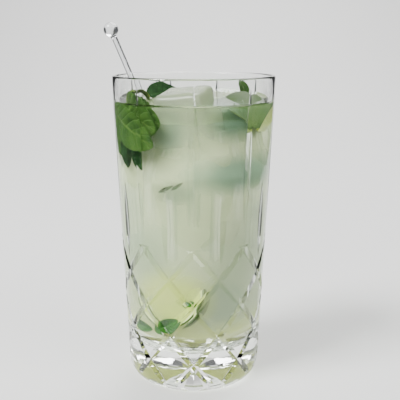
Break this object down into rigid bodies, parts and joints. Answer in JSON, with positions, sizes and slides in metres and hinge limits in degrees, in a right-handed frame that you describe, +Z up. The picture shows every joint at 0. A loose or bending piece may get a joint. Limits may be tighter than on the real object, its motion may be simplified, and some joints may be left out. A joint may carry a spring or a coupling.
{
  "type": "mojito cocktail in a glass",
  "caption": "Tall cut-glass tumbler of cloudy pale green mint and lime drink, with ice, mint leaves, lime and a clear ball-topped stirrer.",
  "frame": {"origin": "centre of the glass's foot, in the plane of the surface that it stands on", "axes": "+Z up along the glass's axis, -Y towards the side with the mint against the glass on the left, +X to the right"},
  "size_m": [0.0847, 0.0786, 0.1762],
  "materials": {
    "glass": "clear polished crystal with bright cut facets",
    "drink": "cloudy pale green liquid with a glossy surface",
    "clear_plastic": "clear moulded plastic",
    "ice": "wet, slightly cloudy ice with melted edges",
    "lime": "dark green dimpled rind over pale green flesh",
    "mint": "wet green leaf with sunken veins"
  },
  "bodies": {
    "root": {"glass": "glass", "drink": "drink", "stirrer": "clear_plastic", "ice_cube": "ice", "lime_chunk": "lime", "leaf_low": "mint", "leaf_high": "mint", "leaf_arch": "mint", "leaf_back": "mint", "leaf_right": "mint"}
  },
  "joints": []
}
